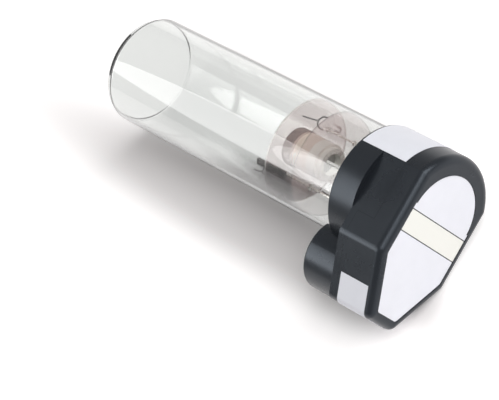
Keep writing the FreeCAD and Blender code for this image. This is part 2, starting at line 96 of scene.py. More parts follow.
class LampSizes(bpy.types.PropertyGroup):
    tube_wall: length("Tube wall", "Thickness of the glass wall", 1.1 * MM)
    window_face: length("Window face", "Outer face of the window from the ring rim", 148.19 * MM)
    window_thickness: length("Window thickness", "Thickness of the end window", 3.0 * MM)
    window_setback: length("Window setback", "Step from the tube's outside to the window's rim",
                           0.8 * MM)
    window_round: length("Window edge round", "Rounding of the window's outer edge", 2.0 * MM)
    inner_round: length("Inner round", "Rounding where the window meets the bore", 0.8 * MM)
    root_depth: length("Root depth", "Length of the tube inside the ring", 13.5 * MM)
    root_step: length("Root step", "How much smaller the ground root of the tube is", 0.4 * MM)
    wire: length("Spring wire", "Thickness of the spring wire", 0.65 * MM)
    seam_top: length("Seam at the top", "Seam of the shells round the top, from the ring rim",
                     -26.5 * MM, low=-1.0)
    seam_lobe: length("Seam at the lobe", "Seam of the shells round the lobe, from the ring rim",
                      -17.0 * MM, low=-1.0)
    seam_step: length("Seam step", "Where the seam steps, below the tube's axis", -13.0 * MM,
                      low=-1.0)
    seam_width: length("Seam width", "Width of the dark seam line", 0.26 * MM)
    film_back: length("Film back", "Rear end of the getter film, from the ring rim", 21.0 * MM)
    film_front: length("Film front", "Front end of the getter film, from the ring rim", 92.0 * MM)
    film: length("Film", "Thickness of the getter film and its gap to the bore", 0.03 * MM)
    band_top: length("Band top", "Upper printed line of the face label, below the tube's axis",
                     -1.7 * MM, low=-1.0)
    band_bottom: length("Band bottom", "Lower printed line of the face label", -11.6 * MM,
                        low=-1.0)
    line_width: length("Line width", "Width of the printed lines", 0.45 * MM)
    turn_steps: IntProperty(name="Turn steps", description="Steps of a full turn of glass",
                            default=160, min=24, max=360)


class LampColours(bpy.types.PropertyGroup):
    glass: colour("Glass", "Tint of the tube", (0.93, 0.94, 0.93))
    stem_glass: colour("Stem glass", "Tint of the pressed stem", (0.93, 0.95, 0.94))
    # Painted shade: dark tint on the tube's upper outer wall where it is seen edge on.
    glass_edge_shade: colour("Glass edge shade", "Tint where the glass is seen edge on", (0.02, 0.024, 0.022))
    glass_shade: colour("Glass shade", "Light that the tube passes to what lies under it",
                        (0.12, 0.115, 0.11))
    housing: colour("Housing", "Moulded plastic", (0.0080, 0.0092, 0.0118))
    housing_handled: colour("Housing, handled", "Slightly paler plastic", (0.012, 0.0138, 0.017))
    seam: colour("Seam", "Dark gap between the shells", (0.001, 0.001, 0.001))
    label: colour("Label", "Face of the label film", (0.78, 0.79, 0.845))
    label_band: colour("Label band", "Cream band across the face label", (0.84, 0.84, 0.79))
    label_line: colour("Label line", "Printed lines", (0.02, 0.02, 0.025))
    ceramic: colour("Ceramic", "Sleeve and bead", (0.68, 0.57, 0.49))
    glaze: colour("Glaze", "Pale rear end of the sleeve", (0.86, 0.84, 0.78))
    fired_mouth: colour("Fired mouth", "Darkened front end of the sleeve", (0.30, 0.26, 0.24))
    mica: colour("Mica", "Discs", (0.66, 0.50, 0.48))
    # Painted light: the same cut rim is a painted highlight on the front disc and a painted shade
    # on the rear disc.
    front_rim_highlight: colour("Front rim", "Cut rim of the front disc", (0.93, 0.90, 0.88))
    rear_rim_shade: colour("Rear rim", "Cut rim of the rear disc", (0.30, 0.25, 0.24))
    # Painted shade: a dark patch low on the front disc, standing for shade seen through it.
    disc_painted_shade: colour("Painted disc shade", "Smoked patch of the front disc", (0.02, 0.016, 0.018))
    dark_metal: colour("Dark metal", "Anode and collar", (0.02, 0.019, 0.019))
    nickel: colour("Nickel", "Rods and clips", (0.75, 0.73, 0.70))


class LampLight(bpy.types.PropertyGroup):
    room: share("Room", "Light from all round", 0.12)
    room_seen: share("Room seen", "Brightness of the room in gloss and through glass", 0.52)
    table_glow: share("Table glow", "Own light of the table outside the shadow", 0.36)
    table_seen: share("Table seen", "Brightness of the table through glass", 0.86)
    table_veil: share("Table veil", "How far that brightness hides the table's own", 0.65)
    key: power("Key", "Large soft lamp on the side of the label", 38.5)
    fill: power("Fill", "Soft lamp on the side of the connector", 8.0)
    strip: power("Strip", "Long soft lamp beyond the window, for gloss and glass only", 1.42)
    veil: power("Veil", "Slim lamp beside the strip, for gloss and glass only", 0.7384)


class Wiring:
    """Adds nodes to one node tree, in rows, and joins them."""
    ROW, WIDTH, HEIGHT = 8, 220, 320
    MIX_FIRST, MIX_SECOND, MIX_RESULT = 6, 7, 2

    def __init__(self, tree):
        self.tree = tree
        self.join = tree.links.new

    def add(self, kind, **values):
        node = self.tree.nodes.new("ShaderNode" + kind)
        row, column = divmod(len(self.tree.nodes) - 1, self.ROW)
        node.location = (column * self.WIDTH, -row * self.HEIGHT)
        for key, value in values.items():
            setattr(node, key, value)
        return node

    def feed(self, value, socket):
        """Join a socket to an input, or write a number or a colour into it."""
        if isinstance(value, bpy.types.NodeSocket):
            self.join(value, socket)
        elif socket.type == "RGBA":
            socket.default_value = (*value, 1.0)
        else:
            socket.default_value = value

    def mix(self, factor, first, second):
        """Colour that goes from first to second as factor rises."""
        node = self.add("Mix", data_type="RGBA")
        self.join(factor, node.inputs[0])
        self.feed(first, node.inputs[self.MIX_FIRST])
        self.feed(second, node.inputs[self.MIX_SECOND])
        return node.outputs[self.MIX_RESULT]

    def blend(self, factor, first, second):
        """Shader that goes from first to second as factor rises."""
        node = self.add("MixShader")
        for value, socket in zip((factor, first, second), node.inputs):
            self.join(value, socket)
        return node.outputs[0]

    def maths(self, operation, *values):
        node = self.add("Math", operation=operation)
        for value, socket in zip(values, node.inputs):
            self.feed(value, socket)
        return node.outputs[0]

    def product(self, first, *others):
        for value in others:
            first = self.maths("MULTIPLY", first, value)
        return first

    def vector_maths(self, operation, *values):
        node = self.add("VectorMath", operation=operation)
        for value, socket in zip(values, node.inputs):
            self.feed(value, socket)
        return node.outputs["Value" if operation == "LENGTH" else "Vector"]

    def near(self, value, place, reach):
        """1 within reach of a place, and 0 elsewhere."""
        away = self.maths("ABSOLUTE", self.maths("SUBTRACT", value, place))
        return self.maths("LESS_THAN", away, reach)

    def soft_step(self, value, start, full, top=1.0):
        """0 before start and top past full, eased between; full may be the lower of the two."""
        node = self.add("MapRange", interpolation_type="SMOOTHSTEP")
        for socket, number in (("From Min", start), ("From Max", full), ("To Max", top)):
            node.inputs[socket].default_value = number
        self.join(value, node.inputs["Value"])
        return node.outputs["Result"]


def group_shell(name, inputs, outputs):
    """New node group with its named sockets and its two end nodes."""
    tree = bpy.data.node_groups.new(name, "ShaderNodeTree")
    for label, kind, default in inputs:
        socket = tree.interface.new_socket(name=label, in_out="INPUT", socket_type=kind)
        if default is not None:
            socket.default_value = default
    for label in outputs:
        tree.interface.new_socket(name=label, in_out="OUTPUT", socket_type="NodeSocketFloat")
    start, end = tree.nodes.new("NodeGroupInput"), tree.nodes.new("NodeGroupOutput")
    end.location = (Wiring.ROW * Wiring.WIDTH, 0)
    return Wiring(tree), start, end


def grain_group():
    """Fine moulded or fired grain as a height, and a slow cloud as a tone."""
    if "Lamp grain" in bpy.data.node_groups:
        return bpy.data.node_groups["Lamp grain"]
    cloud_low, cloud_high = 0.3, 0.7
    wiring, start, end = group_shell(
        "Lamp grain",
        [("Vector", "NodeSocketVector", None), ("Grain Scale", "NodeSocketFloat", 3.0),
         ("Cloud Scale", "NodeSocketFloat", 0.08)],
        ["Height", "Tone"])
    fine = wiring.add("TexNoise")
    fine.inputs["Detail"].default_value = 3.0
    fine.inputs["Roughness"].default_value = 0.6
    cloud = wiring.add("TexNoise")
    cloud.inputs["Detail"].default_value = 5.0
    for noise, scale in ((fine, "Grain Scale"), (cloud, "Cloud Scale")):
        wiring.join(start.outputs["Vector"], noise.inputs["Vector"])
        wiring.join(start.outputs[scale], noise.inputs["Scale"])
    spread = wiring.add("MapRange")
    spread.inputs["From Min"].default_value = cloud_low
    spread.inputs["From Max"].default_value = cloud_high
    wiring.join(cloud.outputs["Fac"], spread.inputs["Value"])
    wiring.join(fine.outputs["Fac"], end.inputs["Height"])
    wiring.join(spread.outputs["Result"], end.inputs["Tone"])
    return wiring.tree


def place_group():
    """Lamp coordinates apart, with the distance from the tube's axis and the turn about it."""
    if "Lamp place" in bpy.data.node_groups:
        return bpy.data.node_groups["Lamp place"]
    labels = ("X", "Y", "Z", "Radius", "Turn")
    wiring, start, end = group_shell("Lamp place", [("Vector", "NodeSocketVector", None)], labels)
    split = wiring.add("SeparateXYZ")
    wiring.join(start.outputs["Vector"], split.inputs[0])
    x, y, z = split.outputs
    square = wiring.maths("ADD", wiring.product(x, x), wiring.product(y, y))
    radius = wiring.maths("SQRT", square)
    turn = wiring.product(wiring.maths("ARCTAN2", y, x), math.degrees(1.0))
    for label, value in zip(labels, (x, y, z, radius, turn)):
        wiring.join(value, end.inputs[label])
    return wiring.tree


class Finish(Wiring):
    """One material, started with lamp coordinates in millimetres and the shared grain."""

    def __init__(self, name, grain=3.0, cloud=0.08):
        self.material = bpy.data.materials.new(name)
        self.material.use_nodes = True
        super().__init__(self.material.node_tree)
        self.tree.nodes.clear()
        mapping = self.add("Mapping")
        inverse = LAMP.inverted()
        mapping.inputs["Location"].default_value = inverse.to_translation() / MM
        mapping.inputs["Rotation"].default_value = inverse.to_euler()
        mapping.inputs["Scale"].default_value = (1 / MM, 1 / MM, 1 / MM)
        self.join(self.add("TexCoord").outputs["Object"], mapping.inputs["Vector"])
        self.vector = mapping.outputs["Vector"]
        group = self.add("Group", node_tree=grain_group())
        group.inputs["Grain Scale"].default_value = grain
        group.inputs["Cloud Scale"].default_value = cloud
        self.join(self.vector, group.inputs["Vector"])
        self.height = group.outputs["Height"]
        self.tone = group.outputs["Tone"]
        self.places = None
        self.shader = self.add("BsdfPrincipled")
        self.out = self.add("OutputMaterial")
        self.join(self.shader.outputs["BSDF"], self.out.inputs["Surface"])

    def colour(self, socket):
        self.join(socket, self.shader.inputs["Base Color"])

    def cover(self, socket):
        self.join(socket, self.shader.inputs["Alpha"])

    def roughness(self, low, high):
        """Roughness that follows the slow cloud."""
        spread = self.add("MapRange")
        spread.inputs["To Min"].default_value = low
        spread.inputs["To Max"].default_value = high
        self.join(self.tone, spread.inputs["Value"])
        self.join(spread.outputs["Result"], self.shader.inputs["Roughness"])

    def relief(self, strength, depth):
        """Bump from the fine grain; depth in millimetres."""
        bump = self.add("Bump")
        bump.inputs["Strength"].default_value = strength
        bump.inputs["Distance"].default_value = depth * MM
        self.join(self.height, bump.inputs["Height"])
        self.join(bump.outputs["Normal"], self.shader.inputs["Normal"])

    def plain(self, socket, value):
        self.shader.inputs[socket].default_value = value

    def place(self, label):
        """Lamp coordinate: X, Y, Z or Radius in millimetres, or Turn in degrees."""
        if self.places is None:
            self.places = self.add("Group", node_tree=place_group())
            self.join(self.vector, self.places.inputs["Vector"])
        return self.places.outputs[label]

    def fade(self, label, start, full):
        """Soft step over a lamp coordinate."""
        return self.soft_step(self.place(label), start, full)


def toned(tint, times):
    """The same hue lighter or deeper, at most white."""
    return [min(1.0, value * times) for value in tint]


def tones(name, first, second, rough, grain=3.0, cloud=0.08, bump=0.0, depth=0.02, metallic=0.0):
    """Opaque finish: two near tones in slow clouds, a roughness that follows, and a grain."""
    finish = Finish(name, grain, cloud)
    finish.colour(finish.mix(finish.tone, first, second))
    finish.roughness(*rough)
    finish.plain("Metallic", metallic)
    if bump:
        finish.relief(bump, depth)
    return finish.material


def clear(name, tint, edge, rough, ior, shade):
    """Clear glass with a painted shade: on its upper side the outer wall is tinted dark where it
    is seen edge on, in place of the dark room it would show there. Shadow rays and bounced light
    take it as a plain filter, so that what lies under it stays in shadow."""
    skin_starts, skin_full = 0.9, 0.2
    edge_on, clear_of_window, painted_shade_span = (0.73, 0.82), (146.5, 144.5), (-10.0, 8.0)
    inner_pass = (0.94, 0.94, 0.94)
    finish = Finish(name, grain=0.6, cloud=0.03)
    ground = finish.mix(finish.tone, tint, toned(tint, 0.99))
    slant = finish.add("LayerWeight")
    slant.inputs["Blend"].default_value = 0.5
    rim = finish.soft_step(slant.outputs["Facing"], *edge_on)
    flat = finish.vector_maths("MULTIPLY", finish.vector, (1.0, 1.0, 0.0))
    radius = TUBE_RADIUS / MM
    outside = finish.soft_step(finish.vector_maths("LENGTH", flat), radius - skin_starts,
                               radius - skin_full)
    wall = finish.product(finish.fade("Z", *clear_of_window), outside)
    # Painted shade: only the upper side of the outer wall takes the dark edge tint.
    painted_edge_shade = finish.product(wall, finish.fade("Y", *painted_shade_span))
    finish.colour(finish.mix(finish.product(rim, painted_edge_shade), ground, edge))
    finish.plain("Roughness", rough)
    finish.plain("IOR", ior)
    finish.plain("Transmission Weight", 1.0)
    side = finish.add("NewGeometry")
    entering = finish.maths("SUBTRACT", 1.0, side.outputs["Backfacing"])
    see = finish.add("BsdfTransparent")
    finish.join(finish.mix(finish.product(entering, outside), inner_pass, shade),
                see.inputs["Color"])
    path = finish.add("LightPath")
    bounced = finish.maths("GREATER_THAN", path.outputs["Diffuse Depth"], 0.5)
    simple = finish.maths("MAXIMUM", path.outputs["Is Shadow Ray"], bounced)
    finish.join(finish.blend(simple, finish.shader.outputs["BSDF"], see.outputs["BSDF"]),
                finish.out.inputs["Surface"])
    return finish.material


def tube_glass(tint):
    return clear("Clear tube glass", tint.glass, tint.glass_edge_shade, rough=0.0, ior=1.47,
                 shade=tint.glass_shade)


def stem_glass(tint):
    return clear("Pressed stem glass", tint.stem_glass, tint.glass_edge_shade, rough=0.05, ior=1.5,
                 shade=tint.glass_shade)


def housing_plastic(size, tint):
    """Moulded plastic with a dark hairline where the two shells meet."""
    finish = Finish("Moulded housing plastic", grain=4.0, cloud=0.05)
    plastic = finish.mix(finish.tone, tint.housing, tint.housing_handled)
    finish.colour(finish.mix(seam(finish, size), plastic, tint.seam))
    finish.roughness(0.24, 0.34)
    finish.relief(0.25, depth=0.03)
    finish.plain("Specular Tint", (0.78, 0.88, 1.0, 1.0))
    finish.plain("Specular IOR Level", 0.45)
    return finish.material


def seam(finish, size):
    """Line of the seam: farther back round the top, nearer the ring round the lobe."""
    top, lobe, step = size.seam_top / MM, size.seam_lobe / MM, size.seam_step / MM
    half = size.seam_width / MM / 2
    y, z = finish.place("Y"), finish.place("Z")
    low = finish.maths("LESS_THAN", y, step)
    level = finish.maths("MULTIPLY_ADD", low, lobe - top, top)
    between = finish.product(finish.maths("GREATER_THAN", z, top),
                             finish.maths("LESS_THAN", z, lobe))
    upright = finish.product(finish.near(y, step, half), between)
    return finish.maths("MAXIMUM", finish.near(z, level, half), upright)


def silicone_cement():
    return tones("Silicone cement", (0.62, 0.60, 0.56), (0.72, 0.70, 0.66), rough=(0.5, 0.6),
                 grain=0.8, cloud=0.2, bump=0.3, depth=0.1)


def label_film(tint):
    return tones("Label film", tint.label, toned(tint.label, 1.03), rough=(0.42, 0.5), grain=2.0,
                 cloud=0.15, bump=0.08, depth=0.02)


def face_label_film(size, tint):
    """Label film with a cream band between two thin printed lines."""
    top, bottom = size.band_top / MM, size.band_bottom / MM
    half = size.line_width / MM / 2
    finish = Finish("Face label film", grain=2.0, cloud=0.15)
    y = finish.place("Y")
    band = finish.product(finish.maths("LESS_THAN", y, top),
                          finish.maths("GREATER_THAN", y, bottom))
    line = finish.maths("MAXIMUM", finish.near(y, top, half), finish.near(y, bottom, half))
    ground = finish.mix(finish.tone, tint.label, toned(tint.label, 1.03))
    field = finish.mix(band, ground, tint.label_band)
    finish.colour(finish.mix(line, field, tint.label_line))
    finish.roughness(0.42, 0.5)
    finish.relief(0.08, depth=0.02)
    return finish.material


def mica_sheet(name, tint, rim, rim_cover, cover, disc_painted_shade):
    """Clear mica with a faint tint, a cut rim drawn as a thin line of painted light in the rim
    colour, and a patch of painted shade.
    """
    cut_edge, painted_shade_down, painted_shade_aside = (23.0, 23.3), (-11.0, -17.0), (-24.0, -14.0)
    painted_shade_cover = 0.85
    finish = Finish(name, grain=1.2, cloud=0.25)
    cut = finish.fade("Radius", *cut_edge)
    # Painted shade: a dark patch low on the disc, full on the front disc and absent on the rear.
    painted_shade_patch = finish.product(finish.fade("Y", *painted_shade_down), finish.fade("X", *painted_shade_aside), disc_painted_shade)
    sheet = finish.mix(finish.tone, tint.mica, toned(tint.mica, 1.15))
    finish.colour(finish.mix(cut, finish.mix(painted_shade_patch, sheet, tint.disc_painted_shade), rim))
    finish.roughness(0.12, 0.25)
    drawn = finish.maths("MAXIMUM", finish.product(cut, rim_cover),
                         finish.product(painted_shade_patch, painted_shade_cover))
    finish.cover(finish.maths("ADD", drawn, cover))
    return finish.material


# Front disc: painted highlight on the cut rim and a patch of painted shade.
def front_mica(tint):
    return mica_sheet("Front mica sheet", tint, tint.front_rim_highlight, rim_cover=0.60, cover=0.27,
                      disc_painted_shade=1.0)


# Rear disc: painted shade on the cut rim, and no patch.
def rear_mica(tint):
    return mica_sheet("Rear mica sheet", tint, tint.rear_rim_shade, rim_cover=0.10, cover=0.22,
                      disc_painted_shade=0.0)


def fired_ceramic(tint):
    return tones("Fired ceramic", tint.ceramic, toned(tint.ceramic, 1.12), rough=(0.35, 0.5),
                 grain=2.5, cloud=0.3, bump=0.12, depth=0.03)


def fired_sleeve(tint):
    """Ceramic with a pale glaze at the rear and a darkened mouth."""
    glaze_end, mouth = (34.5, 33.5), (44.6, 45.6)
    finish = Finish("Fired sleeve", grain=2.5, cloud=0.3)
    body = finish.mix(finish.tone, tint.ceramic, toned(tint.ceramic, 1.12))
    glazed = finish.mix(finish.fade("Z", *glaze_end), body, tint.glaze)
    finish.colour(finish.mix(finish.fade("Z", *mouth), glazed, tint.fired_mouth))
    finish.roughness(0.35, 0.5)
    finish.relief(0.12, depth=0.03)
    return finish.material


def dark_fired_metal(tint):
    return tones("Dark fired metal", tint.dark_metal, toned(tint.dark_metal, 1.5),
                 rough=(0.4, 0.6), grain=3.0, cloud=0.3, bump=0.1, metallic=0.3)


def getter_strip():
    """Dark strip that is fired pale towards the window."""
    dark, pale, cloudy = (0.05, 0.045, 0.045), (0.30, 0.29, 0.28), (0.22, 0.21, 0.20)
    fired_from = (40.0, 43.5)
    finish = Finish("Getter strip", grain=1.5, cloud=0.5)
    metal = finish.mix(finish.fade("Z", *fired_from), dark, pale)
    finish.colour(finish.mix(finish.tone, metal, cloudy))
    finish.roughness(0.35, 0.55)
    finish.plain("Metallic", 0.6)
    return finish.material


def getter_film_and_shade():
    """Dark film low in the tube, with a thinner skirt under it that runs on to the window. It is
    partly the getter's film and partly painted shade, which stands for the shade seen through the
    lower wall.
    """
    rear_end, underneath = (23.0, 33.0), (-108.0, -84.0)
    core_side, core_front, core_cover = (-24.0, -54.0), (70.0, 30.0), 0.84
    skirt_side, skirt_front, skirt_cover = (-46.0, -66.0), (92.0, 50.0), 0.68
    finish = Finish("Getter film and painted shade", grain=0.25, cloud=0.2)
    finish.colour(finish.mix(finish.tone, (0.022, 0.014, 0.016), (0.05, 0.036, 0.038)))
    finish.roughness(0.45, 0.6)
    finish.plain("Specular IOR Level", 0.1)
    rear = finish.fade("Z", *rear_end)
    under = finish.fade("Turn", *underneath)
    core = finish.product(finish.fade("Turn", *core_side), under, rear,
                          finish.fade("Z", *core_front), core_cover)
    skirt = finish.product(finish.fade("Turn", *skirt_side), under, rear,
                           finish.fade("Z", *skirt_front), skirt_cover)
    # Partly painted shade: the film is densest low in the tube, where shade is seen through the
    # wall.
    finish.cover(finish.maths("MAXIMUM", core, skirt))
    return finish.material


def cathode_metal():
    return tones("Turned cathode metal", (0.42, 0.41, 0.40), (0.52, 0.51, 0.5),
                 rough=(0.3, 0.42), grain=3.0, cloud=0.3, metallic=1.0)


def drawn_nickel(tint):
    return tones("Drawn nickel", tint.nickel, toned(tint.nickel, 1.15), rough=(0.22, 0.34),
                 grain=4.0, cloud=0.5, metallic=1.0)


def bright_lead():
    return tones("Bright lead wire", (0.92, 0.92, 0.90), (0.98, 0.98, 0.97), rough=(0.25, 0.35),
                 grain=4.0, cloud=0.5, metallic=0.3)


def spring_wire():
    return tones("Spring wire", (0.13, 0.12, 0.12), (0.20, 0.19, 0.19), rough=(0.3, 0.42),
                 grain=4.0, cloud=0.5, metallic=0.7)


def connector_plastic():
    return tones("Connector plastic", (0.02, 0.02, 0.022), (0.03, 0.03, 0.032),
                 rough=(0.4, 0.5), grain=4.0, bump=0.2, depth=0.02)


def plated_contact():
    return tones("Plated contact", (0.80, 0.62, 0.30), (0.86, 0.68, 0.36), rough=(0.2, 0.3),
                 grain=4.0, cloud=0.4, metallic=1.0)


def glass_fibre():
    return tones("Glass fibre board", (0.04, 0.20, 0.09), (0.06, 0.25, 0.12), rough=(0.35, 0.5),
                 grain=1.5, cloud=0.3, bump=0.15)


def resistor_lacquer():
    return tones("Resistor lacquer", (0.60, 0.48, 0.32), (0.66, 0.54, 0.38), rough=(0.2, 0.3),
                 grain=2.0, cloud=0.5)


def black_wire_cover():
    return tones("Black wire cover", (0.02, 0.02, 0.022), (0.035, 0.035, 0.04),
                 rough=(0.4, 0.5), grain=2.0)


def red_wire_cover():
    return tones("Red wire cover", (0.50, 0.04, 0.035), (0.56, 0.06, 0.05), rough=(0.4, 0.5),
                 grain=2.0)


def dress(material, *names):
    """Give frame nodes their material."""
    for name in names:
        for slot in frame["nodes"][name].material_slots:
            slot.material = material


def add_piece(name, work, material, slot, *nodes):
    """Object from a bmesh drawn in the lamp frame, in place of the frame nodes it stands for."""
    sharp = math.radians(35)
    work.transform(LAMP)
    bmesh.ops.recalc_face_normals(work, faces=work.faces)
    mesh = bpy.data.meshes.new(name)
    work.to_mesh(mesh)
    work.free()
    mesh.shade_smooth()
    mesh.set_sharp_from_angle(angle=sharp)
    piece = bpy.data.objects.new(name, mesh)
    bpy.context.scene.collection.objects.link(piece)
    piece.data.materials.append(material)
    if nodes:
        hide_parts(*nodes)
    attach(piece, BODY)
    return piece


def arc(centre, radius, start, end, steps):
    """Points of a round in a lathe profile, as (radius, height) pairs."""
    found = []
    for step in range(steps + 1):
        turn = math.radians(start + (end - start) * step / steps)
        found.append((centre[0] + radius * math.cos(turn), centre[1] + radius * math.sin(turn)))
    return found


def lathe(profile, steps):
    """Closed body turned about the tube's axis from a profile of (radius, height) pairs."""
    weld = 0.002 * MM
    work = bmesh.new()
    verts = [work.verts.new((r, 0.0, z)) for r, z in profile]
    edges = [work.edges.new(pair) for pair in zip(verts, verts[1:])]
    bmesh.ops.spin(work, geom=verts + edges, cent=(0, 0, 0), axis=(0, 0, 1),
                   angle=math.tau, steps=steps, use_merge=True)
    bmesh.ops.remove_doubles(work, verts=work.verts, dist=weld)
    return work


def bent_wire(work, points, thickness):
    """Round wire along a line of points in the lamp frame, in millimetres."""
    sides = 10
    points = [Vector(point) * MM for point in points]
    last = len(points) - 1
    rings = []
    for step, point in enumerate(points):
        along = points[min(step + 1, last)] - points[max(step - 1, 0)]
        turn = along.to_track_quat("Z", "Y").to_matrix().to_4x4()
        ring = bmesh.ops.create_circle(work, cap_ends=step in (0, last), segments=sides,
                                       radius=thickness / 2,
                                       matrix=Matrix.Translation(point) @ turn)["verts"]
        rings.append([edge for edge in work.edges if edge.verts[0] in ring
                      and edge.verts[1] in ring])
    for first, second in zip(rings, rings[1:]):
        bmesh.ops.bridge_loops(work, edges=first + second)


def smooth_line(points, steps=6):
    """Rounded run through the points, which are kept."""
    places = [Vector(point) for point in points]
    ends = [places[0] * 2 - places[1]] + places + [places[-1] * 2 - places[-2]]
    found = []
    for a, b, c, d in zip(ends, ends[1:], ends[2:], ends[3:]):
        for step in range(steps):
            t = step / steps
            found.append(0.5 * (2 * b + (c - a) * t + (2 * a - 5 * b + 4 * c - d) * t * t
                                + (3 * b - a - 3 * c + d) * t ** 3))
    return found + [places[-1]]


class LAMP_OT_glass(bpy.types.Operator):
    """Make the tube and its window as one fused body of clear glass"""
    bl_idname = "lamp.glass"
    bl_label = "Glass Envelope"

    def execute(self, context):
        size = context.scene.lamp_sizes
        tint = context.scene.lamp_colours
        work = lathe(self.profile(size), size.turn_steps)
        add_piece("glass_envelope", work, tube_glass(tint), "tube_glass", "glass_tube",
                  "end_window")
        dress(stem_glass(tint), "glass_stem")
        return {"FINISHED"}

    def profile(self, size):
        """Ground root, wall and rounded window, as (radius, height) pairs."""
        bore = TUBE_RADIUS - size.tube_wall
        root = TUBE_RADIUS - size.root_step
        rim = TUBE_RADIUS - size.window_setback
        back = size.window_face - size.window_thickness
        shoulder = back - size.window_setback
        edge = size.window_round
        inner = size.inner_round
        points = [(bore, -size.root_depth), (root, -size.root_depth), (root, 0.0),
                  (TUBE_RADIUS, 0.0), (TUBE_RADIUS, shoulder)]
        points += arc((rim, shoulder), size.window_setback, start=0, end=60, steps=4)[1:]
        points += arc((rim - edge, size.window_face - edge), edge, start=15, end=90, steps=8)
        points += [(0.0, size.window_face), (0.0, back)]
        points += arc((bore - inner, back - inner), inner, start=90, end=0, steps=6)
        return points + points[:1]


class LAMP_OT_housing(bpy.types.Operator):
    """Give the two moulded shells and the cement their finishes"""
    bl_idname = "lamp.housing"
    bl_label = "Housing"

    def execute(self, context):
        plastic = housing_plastic(context.scene.lamp_sizes, context.scene.lamp_colours)
        dress(plastic, "front_shell", "rear_shell")
        dress(silicone_cement(), "tube_cement")
        return {"FINISHED"}


class LAMP_OT_labels(bpy.types.Operator):
    """Give the three labels their printed film, with a cream band and two lines on the face"""
    bl_idname = "lamp.labels"
    bl_label = "Labels"

    def execute(self, context):
        tint = context.scene.lamp_colours
        dress(label_film(tint), "ring_label", "lobe_label")
        dress(face_label_film(context.scene.lamp_sizes, tint), "face_label")
        return {"FINISHED"}


class LAMP_OT_mount(bpy.types.Operator):
    """Give the discs, the sleeve, the electrodes and their supports their finishes"""
    bl_idname = "lamp.mount"
    bl_label = "Electrode Mount"

    def execute(self, context):
        tint = context.scene.lamp_colours
        dress(front_mica(tint), "front_mica_disc")
        dress(rear_mica(tint), "rear_mica_disc")
        dress(fired_ceramic(tint), "anode_lead_bead")
        dress(fired_sleeve(tint), "shield_sleeve")
        dress(dark_fired_metal(tint), "anode_ring", "stem_collar")
        dress(getter_strip(), "getter")
        dress(cathode_metal(), "cathode_cup")
        dress(drawn_nickel(tint), "support_rods", "rod_clips")
        dress(bright_lead(), "cathode_lead", "anode_lead")
        return {"FINISHED"}


class LAMP_OT_film(bpy.types.Operator):
    """Lay the thin dark film that the getter leaves inside the tube, which is partly painted shade
    low in the tube
    """
    bl_idname = "lamp.film"
    bl_label = "Getter Film and Painted Shade"

    def execute(self, context):
        size = context.scene.lamp_sizes
        start, sweep, steps = math.radians(-130), math.radians(110), 44
        outside = TUBE_RADIUS - size.tube_wall - size.film
        inside = outside - size.film
        outline = [(inside, size.film_back), (inside, size.film_front),
                   (outside, size.film_front), (outside, size.film_back)]
        work = bmesh.new()
        verts = [work.verts.new((r * math.cos(start), r * math.sin(start), z))
                 for r, z in outline]
        edges = [work.edges.new(pair) for pair in zip(verts, verts[1:] + verts[:1])]
        bmesh.ops.spin(work, geom=verts + edges, cent=(0, 0, 0), axis=(0, 0, 1), angle=sweep,
                       steps=steps)
        bmesh.ops.holes_fill(work, edges=work.edges, sides=4)
        add_piece("getter_film_and_shade", work, getter_film_and_shade(), "dark_metal")
        return {"FINISHED"}


class LAMP_OT_springs(bpy.types.Operator):
    """Bend the wire springs that hold the two discs in the tube"""
    bl_idname = "lamp.springs"
    bl_label = "Disc Springs"

    def execute(self, context):
        wire = context.scene.lamp_sizes.wire
        metal = spring_wire()
        rear = [(15.0, 15.4, 29.0), (16.8, 14.9, 29.4), (18.0, 13.6, 29.6), (18.4, 12.0, 29.6),
                (17.3, 10.7, 29.6), (15.3, 10.1, 29.4), (14.0, 10.3, 28.6)]
        tail = [(18.3, 12.4, 29.8), (18.0, 11.9, 33.0), (17.7, 11.3, 38.7)]
        front = [(11.2, -16.3, 43.6), (12.6, -17.0, 44.6), (14.4, -17.3, 44.9),
                 (15.8, -16.6, 45.0), (15.6, -15.2, 44.9), (14.4, -14.7, 44.7),
                 (12.6, -14.9, 44.6), (11.4, -14.3, 44.0)]
        hook = [(15.6, -16.7, 45.2), (15.2, -17.2, 47.0), (15.4, -17.5, 49.8)]
        for name, lines in (("rear_disc_springs", (rear, tail)),
                            ("front_disc_springs", (front, hook))):
            work = bmesh.new()
            for side in (1, -1):
                for line in lines:
                    turned = [(side * x, side * y, z) for x, y, z in line]
                    bent_wire(work, smooth_line(turned), wire)
            add_piece("bent_" + name, work, metal, "lead_metal", name)
        return {"FINISHED"}


class LAMP_OT_connector(bpy.types.Operator):
    """Give the connector, the code board and the wires their finishes"""
    bl_idname = "lamp.connector"
    bl_label = "Connector"

    def execute(self, context):
        dress(connector_plastic(), "connector_block")
        dress(plated_contact(), "contact_pins")
        dress(glass_fibre(), "code_board")
        dress(resistor_lacquer(), "code_resistors")
        dress(black_wire_cover(), "cathode_wire")
        dress(red_wire_cover(), "anode_wire")
        return {"FINISHED"}


def soft_lamp(name, target, towards, width, height, watts, distance, rise=(0, 0, 1)):
    """Lamp with an area that faces target from a direction in the row frame."""
    data = bpy.data.lights.new(name, "AREA")
    data.shape = "RECTANGLE"
    data.size = width
    data.size_y = height
    data.energy = watts
    piece = bpy.data.objects.new(name, data)
    away = Vector(towards).normalized()
    upward = Vector(rise)
    upward = (upward - away * upward.dot(away)).normalized()
    turn = Matrix((upward.cross(away), upward, away)).transposed().to_4x4()
    piece.matrix_world = Matrix.Translation(target + away * distance) @ turn
    piece.visible_camera = False
    bpy.context.scene.collection.objects.link(piece)
    return piece


